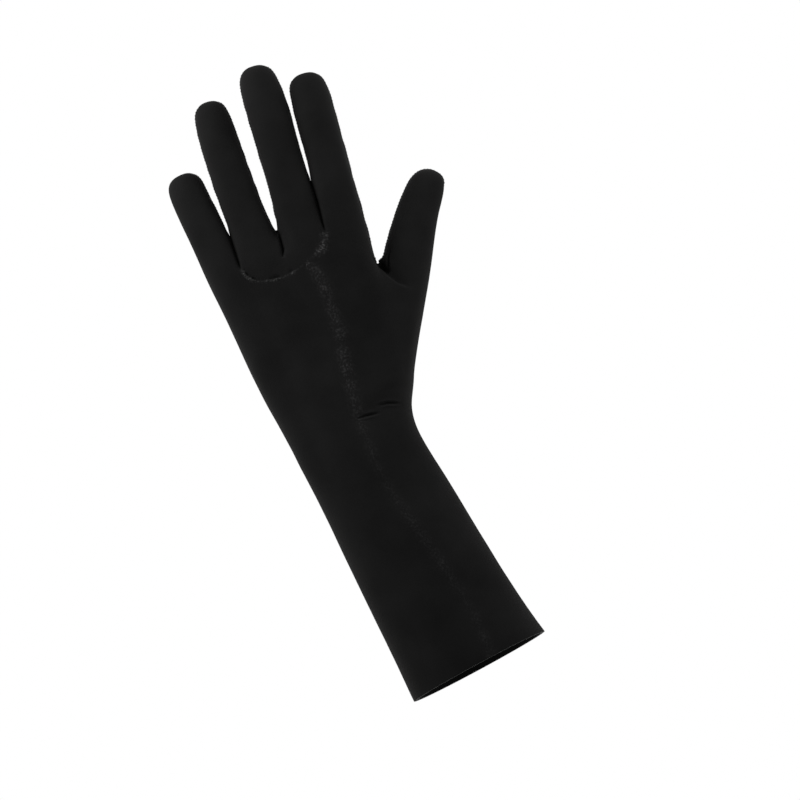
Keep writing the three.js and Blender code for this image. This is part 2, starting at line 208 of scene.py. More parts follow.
@dataclass(frozen=True)
class Relief:
    """How the surface's fine relief varies, and where it fades.

    Relief needs free room in front of it: it begins where the room is the start's share of the
    span, and is whole one span further. Seams lie flat where a fold is deeper than the limit.
    Patches, tucks and waves are unevenness of three sizes. Each wave has a height and a length.
    """

    sight: float = 3 * MM
    ray_start: float = 0.02 * MM
    room_span: float = 1.5 * MM
    room_start: float = 0.7
    seam_extent: float = 3.0
    fold_limit: float = 0.12 * MM
    wrist_span: float = 25 * MM
    patch: float = 6 * MM
    patch_bounds: tuple[float, float] = (0.1, 1.7)
    tuck: float = 1.3 * MM
    dent_place: float = 1.1 * MM
    dent_width: float = 0.45 * MM
    dented_reach: float = 0.8 * MM
    # How dark the shadow painted along a seam's dent is.
    dent_shade: float = 0.6
    waves: tuple[tuple[float, float], ...] = ((0.22 * MM, 34 * MM), (0.07 * MM, 11 * MM))
    # Shade is painted into a fold from this depth on, and is whole one span deeper.
    fold_shade_start: float = 0.4 * MM
    fold_shade_span: float = 1.7 * MM


@dataclass(frozen=True)
class Fold:
    """A fold pressed into the back of the glove, along points given across and up the glove.

    A fold that starts open has its full depth at its first point, as below the gap between two
    fingers. One whose far side is wider is a step: the side on the left, as seen along the path
    from the back of the glove, lies lower. A low roundness gives it a sharp bottom, as where two
    round fingers meet. The shoulder is a swelling beside the fold, as a share of its depth. Its
    place and breadth, and how far the fold extends, are given in widths of the fold.
    """

    path: tuple[tuple[float, ...], ...]
    depth: float
    width: float
    shoulder: float = 0.3
    starts_open: bool = False
    far_width: float = 0.0
    roundness: float = 2.0
    shoulder_place: float = 2.4
    shoulder_breadth: float = 1.1
    extent: float = 5.0
    end_share: float = 0.02
    end_sharpness: float = 0.8

    def depth_at(self, place: Vector) -> float:
        """How far the jersey is pressed in at a place, less than nothing on the fold's shoulders.

        Args:
            place: A point of the back of the glove.

        Returns:
            The distance towards the palm.
        """
        away, share, on_left = self.nearest(Vector((place.x, place.z)))
        width = self.far_width if on_left and self.far_width else self.width
        if away > self.extent * width:
            return 0.0
        across = away / width
        floor = math.exp(-(across**self.roundness))
        beside = math.exp(-(((across - self.shoulder_place) / self.shoulder_breadth) ** 2))
        return self.depth * self.taper(share) * (floor - self.shoulder * beside)

    def taper(self, share: float) -> float:
        """How much of its depth the fold has at a share of its length.

        Args:
            share: The share of its length, from 0 to 1.

        Returns:
            The share of its depth.
        """
        if self.starts_open:
            return 1 - share**4
        along = clamp(share, self.end_share, 1 - self.end_share)
        return math.sin(math.pi * along) ** self.end_sharpness

    def nearest(self, spot: Vector) -> tuple[float, float, bool]:
        """Finds the nearest point of the fold.

        Args:
            spot: A place across and up the glove.

        Returns:
            The distance to the fold, how far along it that point lies, from 0 to 1, and whether
            the place is on its left.
        """
        corners = [Vector(corner) for corner in self.path]
        total = sum((b - a).length for a, b in zip(corners, corners[1:]))
        found, passed = (math.inf, 0.0, False), 0.0
        for a, b in zip(corners, corners[1:]):
            span = b - a
            share = clamp((spot - a).dot(span) / span.length_squared)
            away = (spot - a - span * share).length
            if away < found[0]:
                on_left = span.cross(spot - a) > 0
                found = (away, (passed + share * span.length) / total, on_left)
            passed += span.length
        return found


WRIST_CREASES: tuple[Fold, ...] = (
    Fold(metres((5.8, 139.2), (9.8, 138.6), (16.6, 136.9)), 1.0 * MM, 0.6 * MM),
    Fold(metres((17.4, 140.6), (22.5, 139.6), (28.5, 136.4)), 1.0 * MM, 0.6 * MM),
    Fold(metres((24.0, 134.6), (37.0, 132.4)), 0.5 * MM, 1.6 * MM),
    Fold(metres((22.0, 145.6), (38.0, 144.0)), 0.4 * MM, 1.9 * MM),
)
WEB_GROOVES: tuple[Fold, ...] = (
    Fold(
        metres((-7.9, 256.5), (-9.3, 248.0), (-11.2, 236.0)),
        4.4 * MM, 0.8 * MM, 0.0, True, roundness=1.5,
    ),
    Fold(
        metres((14.8, 247.5), (14.9, 243.5), (13.9, 239.5), (12.9, 235.5), (10.6, 231.2)),
        4.0 * MM, 0.8 * MM, 0.0, True, roundness=1.5,
    ),
    Fold(metres((17.0, 247.5), (16.4, 240.0), (13.5, 232.0)), 0.8 * MM, 3.2 * MM, 0.0, True),
    Fold(
        metres((42.0, 261.5), (40.1, 250.0), (38.6, 243.5), (37.3, 238.5), (36.0, 232.0)),
        4.4 * MM, 0.75 * MM, 0.0, True, roundness=1.5,
    ),
    Fold(metres((51.6, 207.5), (54.3, 198.5)), 2.6 * MM, 0.4 * MM, 0.0, True, 1.9 * MM),
    Fold(
        metres((51.6, 207.5), (54.1, 198.5), (56.6, 192.6), (62.5, 186.0)),
        1.3 * MM, 0.6 * MM, 0.0, True, 6.0 * MM,
    ),
    Fold(metres((54.6, 199.6), (58.2, 206.6), (62.0, 211.0)), 1.2 * MM, 0.5 * MM, 0.2),
)
FOLDS = WRIST_CREASES + WEB_GROOVES


@dataclass(frozen=True)
class Pull:
    """A place where the whole sheet is drawn along, most in the middle and fading to its reach."""

    name: str
    middle: tuple[float, ...]
    shift: tuple[float, ...]
    reach: float

    def at(self, place: Vector) -> Vector:
        """How far a point is drawn along."""
        share = math.dist(place, self.middle) / self.reach
        return Vector(self.shift) * (1 - min(share, 1.0) ** 2) ** 2


PULLS: tuple[Pull, ...] = (
    Pull("thumb web", *metres((51.4, 3.0, 201.6), (0.3, 1.2, 5.4)), 11.5 * MM),
    Pull("thumb tip", *metres((100.0, 14.5, 231.0), (1.5, 0.0, 0.2)), 18.0 * MM),
    Pull("ring fingertip", *metres((10.5, 8.5, 318.0), (0.8, 0.0, 0.9)), 20.0 * MM),
    Pull("middle fingertip", *metres((36.0, 8.0, 324.0), (0.2, 0.0, 0.5)), 17.0 * MM),
    Pull("index fingertip", *metres((57.0, 7.5, 304.0), (0.6, 0.0, 0.3)), 24.0 * MM),
    Pull("little finger", *metres((-24.0, 4.0, 276.0), (-0.4, 0.0, 0.5)), 28.0 * MM),
    Pull("thumb side of the forearm", *metres((31.0, 0.0, 95.0), (0.6, 0.0, 0.0)), 55.0 * MM),
)


@dataclass(frozen=True)
class Touch:
    """Two fingers that touch from their web up to one height, and part by another.

    In a strip across the glove, the sides that face each other are drawn together by a share of
    their gap, just under half. Wider gaps stay open, and those within the fade of it close partly.
    """

    left: float
    right: float
    closed_to: float
    open_from: float
    below: float = 12 * MM
    least_facing: float = 0.2
    sight: float = 4 * MM
    widest_gap: float = 3.6 * MM
    fade: float = 1.4 * MM
    share: float = 0.49

    def holds(self, vert: BMVert) -> bool:
        """Whether a point is on a side of a finger within the strip."""
        low, high = self.closed_to - self.below, self.open_from
        inside = self.left < vert.co.x < self.right and low < vert.co.z < high
        return inside and abs(vert.normal.x) > self.least_facing


TOUCHES: tuple[Touch, ...] = (
    Touch(-14.0 * MM, -2.0 * MM, 255.5 * MM, 262.0 * MM),
    Touch(38.0 * MM, 47.0 * MM, 261.5 * MM, 271.0 * MM),
)


@dataclass(frozen=True)
class Refinement:
    """One round of halving the faces near some seams and in the folds, for fine relief.

    Edges no longer than the longest stay whole.
    """

    kinds: tuple[SeamKind, ...]
    reach: float
    fold_reach: float
    longest: float = 0.0


REFINEMENTS: tuple[Refinement, ...] = (
    Refinement(tuple(SeamKind), 3.2 * MM, 3.2 * MM),
    Refinement((SeamKind.CURVED,), 2.2 * MM, 2.2 * MM),
    Refinement((SeamKind.CURVED,), 1.5 * MM, 1.6 * MM, 0.42 * MM),
)


def linear(hex_colour: str) -> tuple[float, float, float, float]:
    """Turns an sRGB hex colour to Blender's linear one.

    Args:
        hex_colour: The colour as #RRGGBB.

    Returns:
        Red, green, blue and an alpha of 1.
    """
    parts = [int(hex_colour[i : i + 2], 16) / 255 for i in (1, 3, 5)]
    red, green, blue = (c / 12.92 if c <= 0.04045 else ((c + 0.055) / 1.055) ** 2.4 for c in parts)
    return red, green, blue, 1.0


def add_node(
    tree: NodeTree,
    kind: str,
    inputs: dict[str | int, object] | None = None,
    output: str | int = 0,
    **settings: object,
) -> NodeSocket | None:
    """Adds one node with its settings, values and links.

    Args:
        tree: The material's or world's node tree.
        kind: The node's type, without ShaderNode in front.
        inputs: A value or the socket to link, for each input by name or number.
        output: The output to hand back, by name or number.
        **settings: The node's own properties.

    Returns:
        The output, or none where the node has none.
    """
    made = tree.nodes.new(f"ShaderNode{kind}")
    for name, value in settings.items():
        setattr(made, name, value)
    for key, value in (inputs or {}).items():
        if isinstance(value, NodeSocket):
            tree.links.new(value, made.inputs[key])
        else:
            made.inputs[key].default_value = value
    return made.outputs[output] if made.outputs else None


def empty_material(name: str) -> Material:
    """Makes a material with an empty node tree.

    Args:
        name: The material's name.

    Returns:
        The material.
    """
    material = bpy.data.materials.new(name)
    material.use_nodes = True
    material.node_tree.nodes.clear()
    return material


def make_object(name: str, mesh: BMesh, *materials: Material) -> Object:
    """Puts a copy of a mesh in an object of its own.

    Args:
        name: The object's name.
        mesh: The mesh.
        *materials: Its materials, in the order of their numbers.

    Returns:
        The object, linked to the scene.
    """
    data = bpy.data.meshes.new(name)
    mesh.to_mesh(data)
    for material in materials:
        data.materials.append(material)
    made = bpy.data.objects.new(name, data)
    bpy.context.scene.collection.objects.link(made)
    return made


def search_tree(places: list[Vector]) -> KDTree:
    """Makes a search tree.

    Args:
        places: The places, which the tree knows by their order.

    Returns:
        The tree.
    """
    tree = KDTree(len(places))
    for index, place in enumerate(places):
        tree.insert(place, index)
    tree.balance()
    return tree


def on_cuff_edge(vert: BMVert) -> bool:
    """Whether a point lies on the cuff's open edge, which stays level."""
    return abs(vert.co.z) < HAIR


@dataclass(frozen=True)
class KnittedNylonJersey:
    """Black nylon jersey, circular-knitted and laminated to the foam.

    It is matt, with fine V-shaped loops in upright wales. The microfibre pile returns a little
    light at a grazing angle, so the glove's edges look greyer than its middle. Its nap is raised
    to a grey fuzz along the seams. Shade is painted into its colour inside the folds and the seam
    dents, down to black. The loops are drawn at 0.8 mm by 0.62 mm, a little coarser than real
    ones, so that they show from close by.
    """

    dye: str = "#060606"
    paler: str = "#0b0b0b"
    fuzz: str = "#4c4c4c"
    # Painted shade: the jersey's colour deep inside the folds and in the seam dents.
    painted_fold_shade: str = "#010101"
    glow: str = "#d2cfcc"
    sheen: float = 0.018
    wale: float = 0.8 * MM
    course: float = 0.62 * MM
    loop_slope: float = 1.1
    loop_swell: float = 0.3
    relief: float = 0.07 * MM
    tuft: float = 0.5 * MM
    cloud: float = 26.0 * MM
    fibre: float = 0.35 * MM
    speckle: float = 1.1 * MM

    def material(self) -> Material:
        """Builds the jersey's node material.

        Returns:
            The material, which reads the cutting pattern's UV map and the attribute of raised nap
            and painted shade.
        """
        made = empty_material("nylon_jersey_knitted")
        add = partial(add_node, made.node_tree)
        loops = self.loops(made.node_tree)
        place = add("TexCoord", output="Object")
        cloud = add("TexNoise", {"Vector": place, "Scale": 1 / self.cloud, "Detail": 3.0})
        fibre = add("TexNoise", {"Vector": place, "Scale": 1 / self.fibre, "Detail": 2.0})
        speckle = add(
            "TexNoise",
            {"Vector": place, "Scale": 1 / self.speckle, "Detail": 2.0, "Roughness": 0.65},
        )
        nap_and_painted_shade = add("Attribute", output="Fac", attribute_name=NAP_AND_PAINTED_SHADE)

        soft = add("MapRange", {"Value": cloud, "From Min": 0.35, "From Max": 0.65, "To Max": 0.7})
        dyed = add(
            "Mix", {"Factor": soft, "A": linear(self.dye), "B": linear(self.paler)},
            output="Result", data_type="RGBA",
        )
        spots = add(
            "MapRange", {"Value": speckle, "From Min": 0.48, "From Max": 0.66, "To Min": 0.1}
        )
        frayed = add("Math", {0: spots, 1: nap_and_painted_shade}, operation="MULTIPLY", use_clamp=True)
        colour = add(
            "Mix", {"Factor": frayed, "A": dyed, "B": linear(self.fuzz)},
            output="Result", data_type="RGBA",
        )
        # Where the attribute is negative, shade is painted in: the colour goes towards the painted
        # fold shade.
        unshaded_share = add("Math", {0: nap_and_painted_shade, 1: 1.0}, operation="ADD", use_clamp=True)
        shaded = add(
            "Mix", {"Factor": unshaded_share, "A": linear(self.painted_fold_shade), "B": colour},
            output="Result", data_type="RGBA",
        )

        rough = add(
            "MapRange",
            {"Value": fibre, "From Min": 0.3, "From Max": 0.7, "To Min": 0.8, "To Max": 0.95},
        )
        pile = add("Math", {0: fibre, 1: 0.35}, operation="MULTIPLY")
        height = add("Math", {0: loops, 1: pile}, operation="ADD")
        knit = add("Bump", {"Height": height, "Strength": 0.6, "Distance": self.relief})
        tufts = add("Math", {0: speckle, 1: nap_and_painted_shade}, operation="MULTIPLY", use_clamp=True)
        ruffled = add(
            "Bump", {"Height": tufts, "Strength": 0.7, "Distance": self.tuft, "Normal": knit}
        )
        shader = add(
            "BsdfPrincipled",
            {
                "Base Color": shaded,
                "Roughness": rough,
                "IOR": 1.5,
                "Specular IOR Level": 0.03,
                "Sheen Weight": self.sheen,
                "Sheen Roughness": 0.5,
                "Sheen Tint": linear(self.glow),
                "Normal": ruffled,
            },
        )
        add("OutputMaterial", {"Surface": shader})
        return made

    def loops(self, tree: NodeTree) -> NodeSocket:
        """Draws the knit's height: upright wales, each a column of V-shaped loops.

        Args:
            tree: The jersey's node tree.

        Returns:
            The socket that gives the height, from 0 to 1.
        """
        add = partial(add_node, tree)
        across = add("SeparateXYZ", {0: add("UVMap", uv_map=PATTERN_UV)})
        along = across.node.outputs["Y"]
        wales = add("Math", {0: across, 1: 1 / self.wale}, operation="MULTIPLY")
        courses = add("Math", {0: along, 1: 1 / self.course}, operation="MULTIPLY")
        lean = add("Math", {0: wales, 1: 0.5}, operation="PINGPONG")
        phase = add("Math", {0: lean, 1: self.loop_slope, 2: courses}, operation="MULTIPLY_ADD")
        turn = add("Math", {0: phase, 1: math.tau}, operation="MULTIPLY")
        loop = add("Math", {0: turn}, operation="COSINE")
        rise = add(
            "Math", {0: loop, 1: self.loop_swell, 2: 1 - self.loop_swell}, operation="MULTIPLY_ADD"
        )
        around = add("Math", {0: wales, 1: math.tau}, operation="MULTIPLY")
        legs = add("Math", {0: around}, operation="SINE")
        rounded = add("Math", {0: legs}, operation="ABSOLUTE")
        return add("Math", {0: rounded, 1: rise}, operation="MULTIPLY")


@dataclass(frozen=True)
class CutNeopreneFoam:
    """Closed-cell chloroprene foam, cut with a blade.

    It is dark grey and dull, with the opened cells as tiny pits. Shade is painted into the pits,
    darker the deeper they are.
    """

    foam: str = "#181818"
    pit_shade: str = "#0b0b0b"
    cell: float = 0.3 * MM
    pit_depth: float = 0.12 * MM

    def material(self) -> Material:
        """Builds the foam's node material.

        Returns:
            The material, which reads object coordinates.
        """
        made = empty_material("chloroprene_foam_cut")
        add = partial(add_node, made.node_tree)
        place = add("TexCoord", output="Object")
        cells = add("TexVoronoi", {"Vector": place, "Scale": 1 / self.cell}, feature="F1")
        depth = add("MapRange", {"Value": cells, "From Min": 0.1, "From Max": 0.6})
        # Painted shade: the colour darkens towards the bottom of each pit.
        colour = add(
            "Mix", {"Factor": depth, "A": linear(self.pit_shade), "B": linear(self.foam)},
            output="Result", data_type="RGBA",
        )
        bump = add("Bump", {"Height": depth, "Strength": 0.5, "Distance": self.pit_depth})
        shader = add(
            "BsdfPrincipled",
            {"Base Color": colour, "Roughness": 0.9, "Specular IOR Level": 0.12, "Normal": bump},
        )
        add("OutputMaterial", {"Surface": shader})
        return made


@dataclass(frozen=True)
class TwistedNylonThread:
    """Black bonded nylon thread, twisted from three plies.

    It is about as dull as the jersey, so that the stitches barely show. Patches of stitches are
    painted paler, as painted glints.
    """

    dye: str = "#080808"
    paler: str = "#1a1a1a"
    patch: float = 3 * MM
    ply: float = 0.22 * MM
    ply_depth: float = 0.05 * MM

    def material(self) -> Material:
        """Builds the thread's node material.

        Returns:
            The material, which reads object coordinates.
        """
        made = empty_material("nylon_thread_twisted")
        add = partial(add_node, made.node_tree)
        place = add("TexCoord", output="Object")
        # Painted highlight: patches of stitches are painted paler, as glints.
        glint_pattern = add("TexNoise", {"Vector": place, "Scale": 1 / self.patch, "Detail": 2.0})
        share = add("MapRange", {"Value": glint_pattern, "From Min": 0.48, "From Max": 0.66})
        colour = add(
            "Mix", {"Factor": share, "A": linear(self.dye), "B": linear(self.paler)},
            output="Result", data_type="RGBA",
        )
        # A wave texture of scale 1 has bands about an eighth of a unit apart.
        plies = add(
            "TexWave", {"Vector": place, "Scale": 1 / (8 * self.ply), "Distortion": 2.0},
            output="Fac", bands_direction="DIAGONAL",
        )
        bump = add("Bump", {"Height": plies, "Strength": 0.4, "Distance": self.ply_depth})
        shader = add(
            "BsdfPrincipled",
            {
                "Base Color": colour,
                "Roughness": 0.6,
                "Specular IOR Level": 0.08,
                "Sheen Weight": 0.01,
                "Normal": bump,
            },
        )
        add("OutputMaterial", {"Surface": shader})
        return made


@dataclass
class SeamLine:
    """One run of seam along the glove's surface."""

    kind: SeamKind
    points: list[Vector]
    marks: list[float] = field(default_factory=list)

    def __post_init__(self) -> None:
        """Measures the line up to each of its points."""
        self.marks = [0.0]
        for a, b in zip(self.points, self.points[1:]):
            self.marks.append(self.marks[-1] + (b - a).length)

    @property
    def length(self) -> float:
        """The seam's length."""
        return self.marks[-1]

    def spot(self, mark: float) -> tuple[Vector, Vector]:
        """Finds a spot along the seam.

        Args:
            mark: Its distance from the seam's start.

        Returns:
            The place and the direction of the seam there.
        """
        span = min(max(bisect_left(self.marks, mark) - 1, 0), len(self.points) - 2)
        a, b = self.points[span], self.points[span + 1]
        share = (mark - self.marks[span]) / (self.marks[span + 1] - self.marks[span])
        return a.lerp(b, share), (b - a).normalized()

    def stops(self, pitch: float) -> list[tuple[Vector, Vector]]:
        """Steps along the seam.

        Args:
            pitch: The distance between two steps.

        Returns:
            The place and the direction of the seam at each step.
        """
        count = max(1, round(self.length / pitch))
        return [self.spot((i + 0.5) * self.length / count) for i in range(count)]


@dataclass
class GloveSkin:
    """The glove's outer face: the outer jersey of the four panels as one smooth surface."""

    nodes: dict[str, Object]
    weld: float = 0.6 * MM
    smooth_levels: int = 2
    regain: float = 0.9
    settle_reach: float = 9 * MM
    settle_ends: tuple[float, float] = (3 * MM, 14 * MM)
    least_shift: float = 0.02 * MM
    relief: Relief = Relief()
    mesh: BMesh = field(default_factory=bmesh.new)
    panels: list[Panel] = field(default_factory=lambda: list(Panel))

    def build(self) -> list[SeamLine]:
        """Joins, rounds and shapes the surface.

        Returns:
            The seams, as they lie on the finished surface.
        """
        for index, panel in enumerate(self.panels):
            self.take_outer_face(index, self.nodes[panel.value])
        self.close_gaps()
        bmesh.ops.join_triangles(
            self.mesh, faces=self.mesh.faces[:], cmp_materials=True,
            angle_face_threshold=math.pi, angle_shape_threshold=math.pi,
        )
        LOG.info("skin: %d faces", len(self.mesh.faces))
        self.lay_cutting_pattern()
        self.round_off()
        for kind in (SeamKind.SIDE, SeamKind.CURVED, SeamKind.BACK):
            self.settle(kind)
        self.draw_along()
        for touch in TOUCHES:
            self.press_fingers(touch)
        for step in REFINEMENTS:
            self.refine(step)
        self.shape()
        return self.seam_lines()

    def take_outer_face(self, index: int, node: Object) -> None:
        """Copies a node's outer jersey into the skin.

        Args:
            index: The panel's number, kept as the faces' material number.
            node: The panel's node, whose own mesh is left as it is.
        """
        panel = bmesh.new()
        panel.from_mesh(node.data)
        bmesh.ops.remove_doubles(panel, verts=panel.verts[:], dist=SAME_PLACE)
        panel.normal_update()
        outer = max(self.sheets(panel), key=lambda sheet: sum(face.calc_area() for face in sheet))
        rest = [face for face in panel.faces if face not in outer]
        bmesh.ops.delete(panel, geom=rest, context="FACES")
        for face in panel.faces:
            face.material_index = index
        copied = bpy.data.meshes.new("copied")
        panel.to_mesh(copied)
        panel.free()
        normals = copied.attributes.get("custom_normal")
        if normals:
            copied.attributes.remove(normals)
        self.mesh.from_mesh(copied)
        bpy.data.meshes.remove(copied)

    @staticmethod
    def sheets(panel: BMesh) -> list[set[BMFace]]:
        """Parts a panel into the sheets that its cut edges keep apart.

        Args:
            panel: The panel as one closed wall.

        Returns:
            The faces of each sheet.
        """

        def crosses_wall(edge: BMEdge) -> bool:
            """Whether an edge runs from the outer face to the inner one."""
            a, b = edge.verts
            as_long = abs(edge.calc_length() - WALL) < SAME_PLACE
            return as_long and (a.co - b.co).dot(a.normal - b.normal) > 0

        cut = {face for edge in panel.edges if crosses_wall(edge) for face in edge.link_faces}
        left, found = set(panel.faces) - cut, []
        while left:
            queue, sheet = [left.pop()], set()
            while queue:
                face = queue.pop()
                sheet.add(face)
                for edge in face.edges:
                    for other in edge.link_faces:
                        if other in left:
                            left.remove(other)
                            queue.append(other)
            found.append(sheet)
        return found

    def close_gaps(self) -> None:
        """Draws the panels together along their seams, where points meet in the middle."""
        rims = [vert for vert in self.mesh.verts if vert.is_boundary]
        pairs = bmesh.ops.find_doubles(self.mesh, verts=rims, dist=self.weld)["targetmap"]
        groups: dict[BMVert, list[BMVert]] = defaultdict(list)
        for vert, target in pairs.items():
            groups[target].append(vert)
        for target, others in groups.items():
            # A fixed order gives every run the same sum, to the last digit.
            places = sorted((vert.co.copy() for vert in (target, *others)), key=tuple)
            target.co = sum(places, Vector()) / len(places)
        bmesh.ops.weld_verts(self.mesh, targetmap=pairs)
        for edge in self.mesh.edges:
            if edge.is_boundary and max(vert.co.z for vert in edge.verts) > MM:
                raise RuntimeError("the panels do not meet all along their seams")
        LOG.info("skin: %d points joined along the seams", len(pairs))

    def lay_cutting_pattern(self) -> None:
        """Unwraps each panel flat at its real size, with the sleeve upright, as it is cut."""
        for edge in self.mesh.edges:
            edge.seam = self.is_seam(edge)
        flat = make_object("skin_flat", self.mesh)
        bpy.context.view_layer.objects.active = flat
        flat.data.uv_layers.new(name=PATTERN_UV)
        bpy.ops.object.mode_set(mode="EDIT")
        bpy.ops.mesh.select_all(action="SELECT")
        bpy.ops.uv.unwrap(method="ANGLE_BASED", margin=0.01)
        bpy.ops.object.mode_set(mode="OBJECT")
        self.take_back(flat)
        uv = self.mesh.loops.layers.uv[PATTERN_UV]
        for index in range(len(self.panels)):
            faces = [face for face in self.mesh.faces if face.material_index == index]
            self.turn_pattern(faces, uv)

    @staticmethod
    def turn_pattern(faces: list[BMFace], uv: BMLayerItem) -> None:
        """Brings one panel's pattern to its real size and turns it until its V runs up the glove.

        Args:
            faces: The panel's faces.
            uv: The cutting pattern's layer.
        """
        loops = [loop for face in faces for loop in face.loops]
        centre = sum((loop[uv].uv for loop in loops), Vector((0, 0))) / len(loops)
        height = sum(loop.vert.co.z for loop in loops) / len(loops)
        uu = uv_ = vv = uz = vz = 0.0
        for loop in loops:
            u, v = loop[uv].uv - centre
            z = loop.vert.co.z - height
            uu, uv_, vv, uz, vz = uu + u * u, uv_ + u * v, vv + v * v, uz + u * z, vz + v * z
        up = Vector((vv * uz - uv_ * vz, uu * vz - uv_ * uz)).normalized()
        edges = {edge for face in faces for edge in face.edges}
        index = faces[0].material_index
        real = sum(edge.calc_length() for edge in edges)
        drawn = 0.0
        for edge in edges:
            loop = next(loop for loop in edge.link_loops if loop.face.material_index == index)
            drawn += (loop[uv].uv - loop.link_loop_next[uv].uv).length
        for loop in loops:
            place = (loop[uv].uv - centre) * (real / drawn)
            loop[uv].uv = (place.x * up.y - place.y * up.x, place.x * up.x + place.y * up.y)

    def round_off(self) -> None:
        """Rounds the surface by subdivision, which draws points in, so they first move out."""
        coarse = make_object("skin_coarse", self.mesh)
        rounding = coarse.modifiers.new("rounding", "SUBSURF")
        rounding.levels = rounding.render_levels = self.smooth_levels
        rounding.use_limit_surface = False
        graph = bpy.context.evaluated_depsgraph_get()
        rounded = coarse.evaluated_get(graph).to_mesh().vertices
        drawn_in = [vert.co - rounded[vert.index].co for vert in coarse.data.vertices]
        most = max(shift.length for shift in drawn_in)
        LOG.info("skin: points drawn in by up to %.1f mm", most / MM)
        for vert, shift in zip(coarse.data.vertices, drawn_in):
            vert.co += shift * self.regain
        coarse.data.update()
        coarse.data.update_tag()
        self.take_back(coarse)

    def settle(self, kind: SeamKind) -> None:
        """Draws the seams of one kind into an even curve, and the jersey round them along.

        Args:
            kind: The kind of seam.
        """
        surface = BVHTree.FromBMesh(self.mesh)
        runs = self.seam_runs(kind)
        tree = search_tree([vert.co.copy() for run in runs for vert in run])
        shifts = [shift for run in runs for shift in self.evening(run, kind)]
        for vert in self.mesh.verts:
            _, index, away = tree.find(vert.co)
            shift = shifts[index] * self.bump(away / self.settle_reach)
            if shift.length > self.least_shift and not on_cuff_edge(vert):
                vert.co = surface.find_nearest(vert.co + shift)[0]
        self.mesh.normal_update()

    def evening(self, run: list[BMVert], kind: SeamKind) -> list[Vector]:
        """Works out how the points of a seam move when it is drawn into an even curve.

        The side seams turn over the fingertips and through the webs with the surface, so they
        move sideways only. A seam's ends stay.

        Args:
            run: The seam's points, in order.
            kind: The kind of seam.

        Returns:
            The shift of each point.
        """
        even = [vert.co.copy() for vert in run]
        marks = SeamLine(kind, even).marks
        if kind is SeamKind.CURVED:
            even = self.guided(even)
        for _ in range(SEAMS[kind].settle_rounds):
            middle = [(a + 2 * b + c) / 4 for a, b, c in zip(even, even[1:], even[2:])]
            even = [even[0], *middle, even[-1]]
        from_end, to_end = self.settle_ends
        shifts = []
        for index, (vert, place, mark) in enumerate(zip(run, even, marks)):
            free = clamp((min(mark, marks[-1] - mark) - from_end) / (to_end - from_end))
            shift = place - vert.co
            if kind is SeamKind.SIDE:
                along = even[min(index + 1, len(even) - 1)] - even[max(index - 1, 0)]
                sideways = vert.normal.cross(along).normalized()
                shift = sideways * shift.dot(sideways)
            shifts.append(shift * free)
        return shifts

    @staticmethod
    def guided(places: list[Vector]) -> list[Vector]:
        """Moves the curved seam to where it crosses the back of the hand, from groove to groove.

        Args:
            places: The seam's points.

        Returns:
            The points, with those between the two grooves spread along the given places.
        """
        guide = SeamLine(SeamKind.CURVED, [Vector((x, 0, z)) for x, z in CURVED_SEAM_PLACES])
        flat = [Vector((place.x, 0, place.z)) for place in places]
        start, end = (
            min(range(len(flat)), key=lambda index: (flat[index] - tip).length)
            for tip in (guide.points[0], guide.points[-1])
        )
        first, last = sorted((start, end))
        if start > end:
            guide = SeamLine(SeamKind.CURVED, guide.points[::-1])
        marks = SeamLine(SeamKind.CURVED, flat[first : last + 1]).marks
        moved = list(places)
        for index, mark in enumerate(marks, first):
            spot, _ = guide.spot(mark / marks[-1] * guide.length)
            moved[index] = Vector((spot.x, places[index].y, spot.z))
        return moved

    def draw_along(self) -> None:
        """Draws the sheet along with the hand, as between the spread thumb and the index finger."""
        LOG.info("skin: drawn along at the %s", ", ".join(pull.name for pull in PULLS))
        for vert in self.mesh.verts:
            vert.co += sum((pull.at(vert.co) for pull in PULLS), Vector())
        self.mesh.normal_update()

    def press_fingers(self, touch: Touch) -> None:
        """Lets two fingers touch above their web.

        Args:
            touch: Where they touch.
        """
        surface = BVHTree.FromBMesh(self.mesh)
        moves = []
        for vert in filter(touch.holds, self.mesh.verts):
            across = Vector((math.copysign(1.0, vert.normal.x), 0, 0))
            gap = surface.ray_cast(vert.co + across * HAIR, across, touch.sight)[3]
            if gap is not None:
                near = clamp((touch.widest_gap - gap) / touch.fade)
                up = clamp((touch.open_from - vert.co.z) / (touch.open_from - touch.closed_to))
                moves.append((vert, across * (near * up * touch.share * gap)))
        for vert, move in moves:
            vert.co += move
        self.mesh.normal_update()

    def refine(self, step: Refinement) -> None:
        """Halves the faces near some seams and in the folds.

        Args:
            step: The seams, the reaches and the length that an edge may keep.
        """
        lines = [line for line in self.seam_lines() if line.kind in step.kinds]
        tree = self.line_tree(lines)[0]
        near = set()
        for vert in self.mesh.verts:
            spot = Vector((vert.co.x, vert.co.z))
            in_fold = vert.co.y < FOLD_FLOOR and any(
                fold.nearest(spot)[0] < step.fold_reach for fold in FOLDS
            )
            if in_fold or tree.find(vert.co)[2] < step.reach:
                near.add(vert)
        edges = [
            edge
            for edge in self.mesh.edges
            if near.issuperset(edge.verts) and edge.calc_length() > step.longest
        ]
        bmesh.ops.subdivide_edges(self.mesh, edges=edges, cuts=1, use_grid_fill=True, smooth=0.0)
        self.mesh.normal_update()

    @staticmethod
    def fold_depth(place: Vector) -> float:
        """How deep all the folds together press a point, never past the middle of the glove.

        Args:
            place: A point of the outer face.

        Returns:
            The distance towards the palm.
        """
        room = FOLD_SHARE * max(FOLD_FLOOR - place.y, 0.0)
        return clamp(sum(fold.depth_at(place) for fold in FOLDS), -room, room) if room else 0.0

